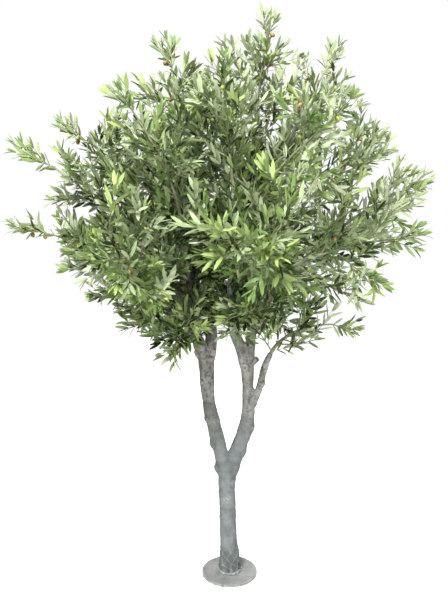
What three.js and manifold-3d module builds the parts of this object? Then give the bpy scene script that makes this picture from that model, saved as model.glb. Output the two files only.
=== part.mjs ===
// Artificial olive tree: a grey moulded trunk on a round steel plate, forking into two boughs,
// five limbs and the branches they carry, each ending in one mass of leafy twigs.
// Millimetres, +Z up. +X is to the tree's right as it is displayed and -Y is its front.
// The origin is the centre of the plate's underside.
import * as THREE from "three";
import { mergeVertices } from "three/addons/utils/BufferGeometryUtils.js";
import Module from "manifold-3d";

const wasm = await Module();
wasm.setup();

// ---------------------------------------------------------------- driving dimensions

const TREE_HEIGHT = 2400;
const CROWN_CENTRE = new THREE.Vector3(-20, 0, 0.625 * TREE_HEIGHT);
const CLEARANCE = 0.3; // between pieces that touch on the real tree
const GRID = 1e-3; // corners fall on this grid, so none are nearer than this without being one

const PLATE = { radius: 122, thickness: 11, chamfer: 1.5, segments: 36 };
const COLLAR = { radius: 57, height: 13, lip: 4, segments: 16 };

const LIMB_SIDES = 8;
const BRANCH = { sides: 5, steps: 4, shareOfLimb: 0.62, leastRadius: 11, tipRadius: 10, opens: 0.45 };
const BRANCH_SHARE = 0.36; // of the way from its fork to a mass's tip is bare branch

// A mass of foliage: one stem, twigs from its three sides in turn, and leaves in pairs on them.
const STEM = { sides: 3, steps: 3, tipRadius: 7, endsAt: 0.8 };
const TWIG = { sides: 3, steps: 2, rootRadius: 5, tipRadius: 4, number: 7, length: 270, lift: 0.3 };
const LEAF = { length: 200, width: 68, thickness: 5, widestAt: 0.45, sink: 4, pairsAt: [0.43, 0.86] };
const SIDE_TWIG = { leafSize: 1, opens: [0.7, 1.1] }; // its leaves' size and how far they open
const END_TWIG = { leafSize: 0.62, opens: [0.3, 0.6] };
const OLIVE = { length: 28, width: 20, along: 0.5, every: 3 }; // on every third mass's end twig
const SIDE_REACH = 0.93;
const TRIES = 6; // for a twig or leaf, each one shorter, before its place is left bare
const TRY_SHORTENS = 0.86;
const OWN_SPACE = 4; // how much nearer its own stem than any other a leaf stays
const LIMB_ROOM = 3; // between a leaf or twig and any limb

const FOOT = PLATE.thickness + CLEARANCE;
const FORK_HEIGHT = 470;
const BOUGH_HEIGHT = 1000;

// Centre lines from root to tip, as [x, y, z, radius].
const LIMBS = {
  trunk: [
    [2, 8, FOOT - 8, 50],
    [0, 8, 70, 45],
    [-4, 8, 150, 38],
    [-8, 6, 280, 37.5],
    [-12, 3, 390, 37],
    [-12, 0, FORK_HEIGHT, 38],
    [-7, 0, FORK_HEIGHT + 55, 38],
  ],
  left_bough: [
    [-17, 3, FORK_HEIGHT - 50, 25],
    [-27, 2, FORK_HEIGHT + 15, 33],
    [-40, 4, 560, 31],
    [-72, 10, 690, 32],
    [-93, 16, 805, 29],
    [-97, 20, 900, 33],
    [-101, 22, BOUGH_HEIGHT - 25, 37],
  ],
  right_bough: [
    [-6, 0, FORK_HEIGHT - 60, 25],
    [9, -2, FORK_HEIGHT + 15, 34],
    [30, -4, 560, 34],
    [66, -10, 660, 33],
    [80, -14, 755, 28],
    [77, -16, 870, 27],
    [75, -18, BOUGH_HEIGHT - 35, 30],
  ],
  left_outer_limb: [
    [-106, 14, BOUGH_HEIGHT - 50, 26],
    [-125, 4, 1030, 26],
    [-150, -20, 1110, 23],
    [-168, -95, 1330, 16],
    [-190, -195, 1560, 11],
  ],
  left_inner_limb: [
    [-93, 26, BOUGH_HEIGHT - 50, 26],
    [-80, 42, 1035, 27],
    [-82, 66, 1110, 26],
    [-104, 150, 1330, 17],
    [-130, 240, 1540, 11],
  ],
  right_inner_limb: [
    [68, -20, BOUGH_HEIGHT - 60, 24],
    [47, -30, 1025, 26],
    [14, -52, 1120, 22],
    [4, -120, 1310, 16],
    [40, -215, 1510, 11],
  ],
  right_outer_limb: [
    [79, -14, BOUGH_HEIGHT - 60, 22],
    [88, 2, 1035, 23],
    [94, 20, 1180, 19],
    [84, 30, 1450, 14],
    [92, 34, 1740, 10],
  ],
  side_limb: [
    [86, -22, 765, 19],
    [121, -36, 844, 17],
    [136, -44, 905, 15],
    [150, -50, 958, 14],
    [171, -56, 1008, 12],
  ],
  pruned_stub: [
    [86, -22, 950, 15],
    [119, -28, 982, 13],
  ],
};

// One row for each mass: name, the limb it grows from, how far up that limb, its heading (0 is the
// tree's right, 90 its back), its rise above level and its reach from the crown's centre.
// A last value, where there is one, is how far its sides reach; all but its end twig keep within it.
const MASSES = [
  ["crown_top", "right_outer_limb", 1, 0, 78, 925, 790],
  ["top_right", "right_outer_limb", 0.74, 11, 58, 955, 780],
  ["top_back", "left_inner_limb", 1, 105, 62, 850, 750],
  ["top_left", "left_outer_limb", 0.8, 192, 73, 840, 690],
  ["top_front", "right_inner_limb", 0.84, 268, 63, 755, 640],
  ["right_high", "right_outer_limb", 0.6, 6, 32, 830, 760],
  ["back_right_high", "right_outer_limb", 0.66, 62, 32, 868],
  ["back_left_high", "left_inner_limb", 0.8, 118, 30, 870],
  ["left_high", "left_outer_limb", 0.7, 172, 34, 880, 690],
  ["front_left_high", "left_outer_limb", 1, 221, 46, 770, 630],
  ["front_right_high", "right_inner_limb", 1, 312, 36, 830, 710],
  ["right_mid", "right_outer_limb", 0.42, 2, 15, 925, 840],
  ["back_right_mid", "right_outer_limb", 0.48, 42, -2, 870],
  ["back_mid", "left_inner_limb", 0.66, 92, 0, 860],
  ["back_left_mid", "left_inner_limb", 0.56, 142, 4, 840, 760],
  ["left_mid", "left_outer_limb", 0.6, 180, 23, 980, 730],
  ["left_spread", "left_outer_limb", 0.46, 186, 3, 900, 690],
  ["front_left_mid", "left_outer_limb", 0.74, 232, -6, 765, 700],
  ["front_mid", "right_inner_limb", 0.74, 280, -2, 830],
  ["front_right_mid", "right_inner_limb", 0.62, 336, 0, 835, 720],
  ["right_low", "side_limb", 1, 354, -35, 710, 580],
  ["back_right_low", "right_outer_limb", 0.3, 58, -30, 650],
  ["back_left_low", "left_inner_limb", 0.42, 128, -32, 640],
  ["left_low", "left_outer_limb", 0.34, 190, -24, 625, 570],
  ["front_low", "left_outer_limb", 0.4, 240, -47, 640, 530],
  ["front_right_low", "right_inner_limb", 0.46, 292, -36, 540, 500],
];

const finish = (color, roughness, metalness = 0) =>
  new THREE.MeshStandardMaterial({ color, roughness, metalness });
const BARK = finish(0x8f918a, 0.85);
const STEEL = finish(0x9a9d97, 0.7, 0.2);
const FOLIAGE = finish(0x5f7a3f, 0.65);

// ---------------------------------------------------------------- solids

function toSolid(geometry) {
  geometry.deleteAttribute("normal");
  geometry.deleteAttribute("uv");
  const places = geometry.getAttribute("position");
  places.array.forEach((value, i) => (places.array[i] = Math.round(value / GRID) * GRID));
  const merged = mergeVertices(geometry, 0.5 * GRID);
  return new wasm.Manifold(
    new wasm.Mesh({
      numProp: 3,
      vertProperties: new Float32Array(merged.getAttribute("position").array),
      triVerts: new Uint32Array(merged.index.array),
    }),
  );
}

function toGeometry(solid) {
  const { vertProperties, triVerts } = solid.getMesh();
  return new THREE.BufferGeometry()
    .setAttribute("position", new THREE.BufferAttribute(vertProperties, 3))
    .setIndex(new THREE.BufferAttribute(triVerts, 1));
}

// The largest body once its corners are back on the grid, with loose scraps dropped.
function largestBody(solid) {
  const bodies = toSolid(toGeometry(solid)).decompose();
  return bodies.reduce((a, b) => (b.volume() > a.volume() ? b : a));
}

// Cross-section frames that turn with the curve and never twist about it.
function framesAlong(curve, steps) {
  const frames = [];
  let side = new THREE.Vector3(1, 0, 0);
  for (let i = 0; i <= steps; i++) {
    const tangent = curve.getTangent(i / steps);
    if (Math.abs(tangent.dot(side)) > 0.95) side = new THREE.Vector3(0, 1, 0);
    side = side.clone().addScaledVector(tangent, -tangent.dot(side)).normalize();
    frames.push({ centre: curve.getPoint(i / steps), side, front: side.clone().cross(tangent) });
  }
  return frames;
}

// A place on a limb's faceted centre line, with its direction and cross-section there.
function placeOn(curve, steps, share) {
  const frames = framesAlong(curve, steps);
  const i = Math.min(Math.floor(share * steps), steps - 1);
  const [from, to] = [frames[i].centre, frames[i + 1].centre];
  const axis = to.clone().sub(from).normalize();
  const side = frames[i].side.clone().addScaledVector(axis, -axis.dot(frames[i].side)).normalize();
  const point = from.clone().lerp(to, share * steps - i);
  return { point, axis, side, front: side.clone().cross(axis) };
}

// The middle of a limb's face, as an angle round its cross-section.
function faceAngle(face, sides) {
  return (2 * Math.PI * (face + 0.5)) / sides;
}

// The direction that opens from a limb by one angle, at another angle round it.
function leaning({ axis, side, front }, open, around) {
  return axis
    .clone()
    .multiplyScalar(Math.cos(open))
    .addScaledVector(side, Math.cos(around) * Math.sin(open))
    .addScaledVector(front, Math.sin(around) * Math.sin(open));
}

// A limb with closed ends: rings of corners square to its centre line, joined ring to ring.
// It can be grown on all sides, to cut the room that a neighbour leaves for it.
function limbSolid({ curve, radiusAt, sides, steps }, grown = 0) {
  const frames = framesAlong(curve, steps);
  frames[0].centre.addScaledVector(curve.getTangent(0), -grown);
  frames[steps].centre.addScaledVector(curve.getTangent(1), grown);
  const corners = frames.flatMap(({ centre, side, front }, step) =>
    Array.from({ length: sides }, (_, k) => {
      const around = (2 * Math.PI * k) / sides;
      const radius = radiusAt(step / steps) + grown;
      return centre
        .clone()
        .addScaledVector(side, radius * Math.cos(around))
        .addScaledVector(front, radius * Math.sin(around));
    }),
  );
  const faces = [];
  for (let step = 0; step < steps; step++) {
    for (let k = 0; k < sides; k++) {
      const a = step * sides + k;
      const b = step * sides + ((k + 1) % sides);
      faces.push(a, a + sides, b, b, a + sides, b + sides);
    }
  }
  const end = steps * sides;
  for (let k = 1; k + 1 < sides; k++) faces.push(0, k, k + 1, end, end + k + 1, end + k);
  return toSolid(new THREE.BufferGeometry().setFromPoints(corners).setIndex(faces));
}

// ---------------------------------------------------------------- trunk, boughs, limbs, branches

function taper(radii) {
  return (share) => {
    const place = Math.min(share, 1) * (radii.length - 1);
    const i = Math.min(Math.floor(place), radii.length - 2);
    return THREE.MathUtils.lerp(radii[i], radii[i + 1], place - i);
  };
}

function pathLimb(name, path) {
  const points = path.map(([x, y, z]) => new THREE.Vector3(x, y, z));
  return {
    name,
    curve: new THREE.CatmullRomCurve3(points, false, "catmullrom", 0.5),
    radiusAt: taper(path.map((row) => row[3])),
    sides: name === "pruned_stub" ? BRANCH.sides : LIMB_SIDES,
    steps: 2 * (path.length - 1),
  };
}

function heading(degreesRound, degreesUp) {
  const round = THREE.MathUtils.degToRad(degreesRound);
  const up = THREE.MathUtils.degToRad(degreesUp);
  return new THREE.Vector3(
    Math.cos(round) * Math.cos(up),
    Math.sin(round) * Math.cos(up),
    Math.sin(up),
  );
}

// The line from a mass's fork on its limb to its outermost tip: it leaves more or less along the
// limb and turns outwards. The first part is the branch and the rest is the mass's stem.
function spineOf(limb, fork, outwards, reach) {
  const root = limb.curve.getPoint(fork);
  const tip = CROWN_CENTRE.clone().addScaledVector(outwards, reach);
  const pull = 0.33 * root.distanceTo(tip);
  const turn = fork === 1 ? 0 : BRANCH.opens;
  const start = limb.curve.getTangent(fork).lerp(outwards, turn).normalize();
  return new THREE.CubicBezierCurve3(
    root,
    root.clone().addScaledVector(start, pull),
    tip.clone().addScaledVector(outwards, -pull),
    tip,
  );
}

class PartOfCurve extends THREE.Curve {
  constructor(curve, from, to) {
    super();
    Object.assign(this, { curve, from, to });
  }
  getPoint(share) {
    return this.curve.getPoint(THREE.MathUtils.lerp(this.from, this.to, share));
  }
  getTangent(share) {
    return this.curve.getTangent(THREE.MathUtils.lerp(this.from, this.to, share));
  }
}

// The stem ends before it leaves its mass's sides, and one twig goes on alone to the tip.
function stemEnd(spine, sides) {
  let share = STEM.endsAt;
  while (spine.getPoint(share).distanceTo(CROWN_CENTRE) > sides) share -= 0.01;
  return share;
}

function planMass(row, index, limbs) {
  const [name, limbName, fork, round, rise, reach, sides = SIDE_REACH * reach] = row;
  const limb = limbs[limbName];
  const spine = spineOf(limb, fork, heading(round, rise), reach);
  const onTip = fork === 1;
  const start = onTip ? 0 : BRANCH_SHARE;
  const rootRadius = onTip ? limb.radiusAt(1) : BRANCH.tipRadius;
  const branch = onTip
    ? null
    : {
        name: `${name}_branch`,
        curve: new PartOfCurve(spine, 0, start),
        radiusAt: taper([
          Math.max(limb.radiusAt(fork) * BRANCH.shareOfLimb, BRANCH.leastRadius),
          BRANCH.tipRadius,
        ]),
        sides: BRANCH.sides,
        steps: BRANCH.steps,
      };
  return {
    name: `${name}_foliage`,
    seed: 101 + index,
    branch,
    rootRadius: rootRadius - 0.5,
    stem: new PartOfCurve(spine, start + CLEARANCE / spine.getLength(), stemEnd(spine, sides)),
    spine: new PartOfCurve(spine, start, 1),
    reach,
    sides,
  };
}

// ---------------------------------------------------------------- what a leaf keeps clear of

function nearestOnLine(point, line) {
  const step = new THREE.Vector3();
  const offset = new THREE.Vector3();
  let best = { distance: Infinity, radius: 0 };
  for (let i = 0; i + 1 < line.length; i++) {
    step.subVectors(line[i + 1].point, line[i].point);
    offset.subVectors(point, line[i].point);
    const share = THREE.MathUtils.clamp(offset.dot(step) / step.lengthSq(), 0, 1);
    const distance = offset.addScaledVector(step, -share).length();
    if (distance < best.distance) {
      best = { distance, radius: THREE.MathUtils.lerp(line[i].radius, line[i + 1].radius, share) };
    }
  }
  return best;
}

function lineOf(curve, radiusAt, count) {
  return Array.from({ length: count + 1 }, (_, i) => ({
    point: curve.getPoint(i / count),
    radius: radiusAt(i / count),
  }));
}

const LINE_STEPS = 10;

// samples: [{ point, room }], where room is the half-thickness of the twig or leaf there.
function hasRoom(samples, mass, masses, limbLines, reach) {
  return samples.every(({ point, room }) => {
    if (point.distanceTo(CROWN_CENTRE) > reach) return false;
    const own = nearestOnLine(point, mass.line).distance;
    const nearerMass = masses.some(
      (other) => other !== mass && nearestOnLine(point, other.line).distance < own + OWN_SPACE,
    );
    if (nearerMass) return false;
    return limbLines.every((line) => {
      const { distance, radius } = nearestOnLine(point, line);
      return distance > radius + room + LIMB_ROOM;
    });
  });
}

// ---------------------------------------------------------------- foliage

function seededRandom(seed) {
  let state = seed >>> 0;
  return () => {
    state = (state + 0x6d2b79f5) >>> 0;
    let mixed = Math.imul(state ^ (state >>> 15), state | 1);
    mixed ^= mixed + Math.imul(mixed ^ (mixed >>> 7), mixed | 61);
    return ((mixed ^ (mixed >>> 14)) >>> 0) / 4294967296;
  };
}

// The first of a few ever shorter tries that fits, or null.
function firstThatFits(make, fits) {
  for (let scale = 1, i = 0; i < TRIES; i++, scale *= TRY_SHORTENS) {
    const made = make(scale);
    if (fits(made)) return made;
  }
  return null;
}

function bentTwig(root, towards, length, lift) {
  const middle = root.clone().addScaledVector(towards, 0.5 * length);
  const onwards = towards.clone();
  onwards.z += lift;
  const tip = middle.clone().addScaledVector(onwards.normalize(), 0.5 * length);
  return new THREE.QuadraticBezierCurve3(root, middle, tip);
}

// A twig leaves the stem at its share of the way, opens less towards the tip and lifts at its end.
function twigCurve(mass, index, random, scale) {
  const share = (index + 0.2 + 0.5 * random()) / TWIG.number;
  const open = THREE.MathUtils.lerp(1.3, 0.6, share) * (0.85 + 0.3 * random());
  const around = faceAngle(2 * index + mass.seed, STEM.sides) + 0.3 * (random() - 0.5);
  const place = placeOn(mass.stem, STEM.steps, share);
  return bentTwig(place.point, leaning(place, open, around), TWIG.length * scale, TWIG.lift);
}

function endTwigCurve(mass) {
  const root = mass.stem.getPoint(1);
  const tip = mass.spine.getPoint(1);
  const length = root.distanceTo(tip) - END_TWIG.leafSize * LEAF.length;
  return bentTwig(root, tip.sub(root).normalize(), Math.max(length, 30), 0);
}

// A leaf turns its face outwards and a little upwards, as far as its own direction lets it.
function leafFrame(root, direction, random, size) {
  const light = root.clone().sub(CROWN_CENTRE).normalize();
  light.z += 0.35;
  const across = new THREE.Vector3().crossVectors(direction, light).normalize();
  across.applyAxisAngle(direction, 1.2 * (random() - 0.5));
  const face = new THREE.Vector3().crossVectors(across, direction);
  return { root, direction, across, face, length: LEAF.length * size, width: LEAF.width * size };
}

// Pairs of leaves that open to either side of a twig, and one leaf on from its tip.
function growLeaves(twig, { leafSize, opens }, random, fits) {
  const leaves = [];
  LEAF.pairsAt.forEach((share, pair) => {
    const place = placeOn(twig, TWIG.steps, share);
    for (const half of [0, 1]) {
      const make = (scale) => {
        const open = THREE.MathUtils.lerp(...opens, random());
        const around = faceAngle(pair + half, TWIG.sides) + 0.4 * (random() - 0.5);
        return leafFrame(place.point, leaning(place, open, around), random, leafSize * scale);
      };
      leaves.push(firstThatFits(make, fits));
    }
  });
  const end = placeOn(twig, TWIG.steps, 0.97);
  const makeEnd = (scale) => leafFrame(end.point, end.axis, random, leafSize * scale);
  leaves.push(firstThatFits(makeEnd, fits));
  return leaves.filter(Boolean);
}

function leafSamples(leaf) {
  const along = (share) => leaf.root.clone().addScaledVector(leaf.direction, share * leaf.length);
  const half = 0.5 * leaf.width;
  const middle = along(LEAF.widestAt);
  return [
    { point: along(0.25), room: 0.55 * half },
    { point: middle, room: half },
    { point: along(0.75), room: 0.5 * half },
    { point: along(1), room: 0 },
    { point: middle.clone().addScaledVector(leaf.across, half), room: 0 },
    { point: middle.clone().addScaledVector(leaf.across, -half), room: 0 },
  ];
}

// A flat blade with a low ridge, pointed at its tip and at the root it sinks in its twig.
const BLADE_CORNERS = ["root", "left", "right", "ridge", "tip"];
const BLADE_FACES = [
  "root left right",
  "root ridge left",
  "root right ridge",
  "tip right left",
  "tip left ridge",
  "tip ridge right",
];

function leafSolid(leaf) {
  const at = (along, across, up) =>
    leaf.root
      .clone()
      .addScaledVector(leaf.direction, along)
      .addScaledVector(leaf.across, across)
      .addScaledVector(leaf.face, up);
  const widest = LEAF.widestAt * leaf.length;
  const corners = [
    at(-LEAF.sink, 0, 0),
    at(widest, -0.5 * leaf.width, 0),
    at(widest, 0.5 * leaf.width, 0),
    at(widest, 0, LEAF.thickness),
    at(leaf.length, 0, 0),
  ];
  const index = BLADE_FACES.join(" ").split(" ").map((corner) => BLADE_CORNERS.indexOf(corner));
  return toSolid(new THREE.BufferGeometry().setFromPoints(corners).setIndex(index));
}

// An olive hangs from a twig's lower side, as two four-sided points joined at its waist.
const OLIVE_CORNERS = ["top", "front", "right", "back", "left", "bottom"];
const OLIVE_FACES = [
  "top front right",
  "top right back",
  "top back left",
  "top left front",
  "bottom right front",
  "bottom back right",
  "bottom left back",
  "bottom front left",
];

function hangOlive(twig) {
  const { point, axis } = placeOn(twig, TWIG.steps, OLIVE.along);
  const down = new THREE.Vector3(0, 0, -1).projectOnPlane(axis).normalize();
  const middle = point.clone().addScaledVector(down, 0.5 * OLIVE.length);
  return { point, axis, down, middle, across: axis.clone().cross(down) };
}

function oliveSolid({ point, axis, down, middle, across }) {
  const half = 0.5 * OLIVE.width;
  const corners = [
    point,
    middle.clone().addScaledVector(axis, half),
    middle.clone().addScaledVector(across, half),
    middle.clone().addScaledVector(axis, -half),
    middle.clone().addScaledVector(across, -half),
    point.clone().addScaledVector(down, OLIVE.length),
  ];
  const index = OLIVE_FACES.join(" ").split(" ").map((corner) => OLIVE_CORNERS.indexOf(corner));
  return toSolid(new THREE.BufferGeometry().setFromPoints(corners).setIndex(index));
}

function twigSamples(curve) {
  return [0.25, 0.5, 0.75, 1].map((share) => ({
    point: curve.getPoint(share),
    room: TWIG.rootRadius,
  }));
}

function growMass(mass, masses, limbLines) {
  const random = seededRandom(mass.seed);
  const fitsWithin = (reach) => (samples) => hasRoom(samples, mass, masses, limbLines, reach);
  const fits = fitsWithin(mass.sides);
  const fitsAtEnd = fitsWithin(mass.reach);
  const stemRadius = taper([mass.rootRadius, STEM.tipRadius]);
  const twigRadius = taper([TWIG.rootRadius, TWIG.tipRadius]);
  const pieces = [limbSolid({ ...STEM, curve: mass.stem, radiusAt: stemRadius })];
  const grow = (twig, habit, fitsLeaf) => {
    pieces.push(limbSolid({ ...TWIG, curve: twig, radiusAt: twigRadius }));
    const leaves = growLeaves(twig, habit, random, (leaf) => fitsLeaf(leafSamples(leaf)));
    pieces.push(...leaves.map(leafSolid));
  };
  for (let i = 0; i < TWIG.number; i++) {
    const make = (scale) => twigCurve(mass, i, random, scale);
    const twig = firstThatFits(make, (curve) => fits(twigSamples(curve)));
    if (twig) grow(twig, SIDE_TWIG, fits);
  }
  const endTwig = endTwigCurve(mass);
  grow(endTwig, END_TWIG, fitsAtEnd);
  const olive = hangOlive(endTwig);
  const hasRoomForOlive = fitsAtEnd([{ point: olive.middle, room: 0.5 * OLIVE.width }]);
  if (mass.seed % OLIVE.every === 0 && hasRoomForOlive) pieces.push(oliveSolid(olive));
  return largestBody(wasm.Manifold.union(pieces));
}

// ---------------------------------------------------------------- plate and collar

function lathe(profile, segments) {
  const points = profile.map(([radius, height]) => new THREE.Vector2(radius, height));
  return new THREE.LatheGeometry(points, segments).rotateX(Math.PI / 2);
}

function plateSolid() {
  const { radius, thickness, chamfer, segments } = PLATE;
  const profile = [
    [0, 0],
    [radius - chamfer, 0],
    [radius, chamfer],
    [radius, thickness - chamfer],
    [radius - chamfer, thickness],
    [0, thickness],
  ];
  return toSolid(lathe(profile, segments));
}

// The low bead of filler that beds the trunk's foot on the plate.
function collarSolid(trunkRoom) {
  const { radius, height, lip, segments } = COLLAR;
  const profile = [
    [0, 0],
    [radius, 0],
    [radius - 0.4 * lip, 0.5 * height],
    [radius - 2 * lip, height],
    [0, height],
  ];
  const [x, y] = LIMBS.trunk[0];
  return toSolid(lathe(profile, segments).translate(x, y, FOOT)).subtract(trunkRoom);
}

// ---------------------------------------------------------------- the tree

const tree = new THREE.Group();
tree.name = "artificial_olive_tree";

function addNode(name, solid, material) {
  const mesh = new THREE.Mesh(toGeometry(solid), material);
  mesh.name = name;
  tree.add(mesh);
}

const limbs = Object.fromEntries(
  Object.entries(LIMBS).map(([name, path]) => [name, pathLimb(name, path)]),
);
const masses = MASSES.map((row, index) => planMass(row, index, limbs));
const woody = [...Object.values(limbs), ...masses.map((mass) => mass.branch).filter(Boolean)];

// Each limb is cut to fit those before it, so that a fork closes with no overlap.
const rooms = [];
for (const limb of woody) {
  const standing = limbSolid(limb).trimByPlane([0, 0, 1], FOOT);
  const cut = rooms.reduce((solid, room) => solid.subtract(room), standing);
  addNode(limb.name, largestBody(cut), BARK);
  rooms.push(limbSolid(limb, CLEARANCE));
}

addNode("plate", plateSolid(), STEEL);
addNode("foot_collar", collarSolid(rooms[0]), BARK);

for (const mass of masses) mass.line = lineOf(mass.spine, () => 0, LINE_STEPS);
const limbLines = woody.map(({ curve, radiusAt }) => lineOf(curve, radiusAt, LINE_STEPS));
for (const mass of masses) addNode(mass.name, growMass(mass, masses, limbLines), FOLIAGE);

export default tree;
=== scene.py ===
import math

import bmesh
import bpy
import numpy as np
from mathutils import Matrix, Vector, noise


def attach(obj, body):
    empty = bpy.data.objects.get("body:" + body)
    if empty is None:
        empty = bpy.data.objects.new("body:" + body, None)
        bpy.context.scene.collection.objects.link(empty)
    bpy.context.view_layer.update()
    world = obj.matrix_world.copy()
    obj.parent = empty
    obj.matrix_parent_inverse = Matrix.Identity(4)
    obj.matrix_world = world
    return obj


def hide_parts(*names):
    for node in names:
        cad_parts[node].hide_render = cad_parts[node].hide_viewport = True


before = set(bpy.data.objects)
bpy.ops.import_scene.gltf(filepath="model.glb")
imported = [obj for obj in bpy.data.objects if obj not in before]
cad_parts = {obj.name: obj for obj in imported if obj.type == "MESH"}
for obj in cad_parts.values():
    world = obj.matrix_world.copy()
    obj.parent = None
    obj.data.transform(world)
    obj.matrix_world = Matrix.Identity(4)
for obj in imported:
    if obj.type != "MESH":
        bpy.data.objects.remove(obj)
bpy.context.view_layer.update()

# ---------------------------------------------------------------- driving sizes

TREE_HEIGHT = 2.4
CROWN_CENTRE = np.array([-0.020, 0.0, 0.625 * TREE_HEIGHT])
CROWN_FOOT = 0.95  # the lowest leaves
CLEARANCE = 0.0003

PLATE = {"radius": 0.122, "thickness": 0.011, "edge": 0.0012, "worn_rim": 0.006}
FOOT_BEAD = {"radius": 0.055, "height": 0.008, "bead": 0.007, "inner": 0.040}
FOOT_BEAD |= {"bulges": 0.0040, "heaves": 0.005}

BRANCH = {"share_of_limb": 0.62, "least_radius": 0.011, "tip_radius": 0.010, "opens": 0.45}
BRANCH_SHARE = 0.36  # of the way from its fork to a mass's tip is bare branch
SPINE_HANDLE = 0.33  # of that way is how far each of its ends keeps its heading

# The rule by which a mass grows: one stem, twigs from its three sides in turn, sprays on the twigs.
# Places are shares of the way along, and angles are in radians.
STEM = {"sides": 3, "steps": 3, "ends_at": 0.8}
TWIG = {"sides": 3, "steps": 2, "room": 0.005, "number": 7, "length": 0.270, "lift": 0.3}
TWIG |= {"opens": [1.3, 0.6], "sways": 0.3}
SPRAY = {"length": 0.200, "width": 0.068, "widest_at": 0.45, "pairs_at": [0.43, 0.86]}
SPRAY |= {"end_at": 0.97, "sways": 0.4, "rolls": 1.2, "faces_up": 0.35}

# The size of a twig's sprays, how far they open, and from where the twig itself has leaves.
SIDE_TWIG = {"size": 1.0, "opens": [0.7, 1.1], "leafy_from": 0.35}
END_TWIG = {"size": 0.62, "opens": [0.3, 0.6], "leafy_from": 0.08, "least": 0.030}

SIDE_REACH = 0.93  # of a mass's reach, where its row gives its sides no reach of their own
TRIES = 6
TRY_SHORTENS = 0.86
OWN_SPACE = 0.004  # how much nearer growth stays to its own mass's spine than to another's
LIMB_ROOM = 0.003
LINE_STEPS = 10

# Leaves and finer sprays on the same twigs. Leaves open less from a twig's root to its tip, and
# their edges rise above the midrib by a share of their width.
LEAF = {"length": 0.064, "width": 0.0150, "thickness": 0.0006, "edges_rise": 0.10}
LEAF_HABIT = {"opens": [0.85, 0.42], "sways": 0.12, "swings": 0.2, "rolls": 0.8}
LEAF_HABIT |= {"bends": [-0.05, 0.10]}
LEAF_SIZES = {"paired": [0.85, 1.1], "at_tip": [0.75, 0.95], "width": [0.9, 1.1]}
PAIR_GAP = 0.030  # between the pairs of leaves on a spray
END_SPACING = 1.3  # times wider than that on the sprays at the crown's edge
SPRAY_GAP = 0.019  # between finer sprays along a stem
TWIG_GAP = 1.4 * SPRAY_GAP  # along a twig
FINE_SPRAY = {"opens": [0.6, 1.1], "size": [0.7, 1.0], "swings": 0.4}
FINE_SPRAY |= {"lift": 0.25, "leafy_from": 0.16, "line_steps": 4}
INNER = {"gap": 0.009, "seed": 7}  # sprays on bare branches and limbs
INNER |= {"limbs_above_foot": 0.13, "sprays_above_foot": 0.06}
OPEN_TO_RIGHT = 1.0  # how much wider those gaps are on the tree's right, where the crown is airier
BOUGH_GAP = {"half_width": 0.14, "top": 1.14}  # where the boughs' tops show below the crown

# Olives hang from some end twigs, from a share of all sprays, and evenly from the outer sprays.
OLIVE = {"length": 0.024, "width": 0.0170, "drop": 0.002, "narrows": 0.10, "rings": 8, "sides": 12}
END_OLIVE = {"every_mass": 3, "along": 0.5}
SPRAY_OLIVE = {"share": 0.035, "along": 0.3, "sways": 0.15, "kinds": [0.66, 0.28, 0.06]}
OUTER_OLIVE = {"every_spray": 10, "from_centre": 0.60, "along": 0.2}

# The steps along each kind of tube with its radii from root to tip, and the sides of its piece.
STEM_TUBE = (10, [0.0085, 0.0032])
TWIG_TUBE = (7, [0.0036, 0.0018])
SPRAY_TUBE = (5, [0.0017, 0.0009])
TUBE_SIDES = {"bark_tubes": 20, "branches": 12, "twigs": 5}

FOOT = PLATE["thickness"] + CLEARANCE
FORK_HEIGHT = 0.470
BOUGH_HEIGHT = 1.000

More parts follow.
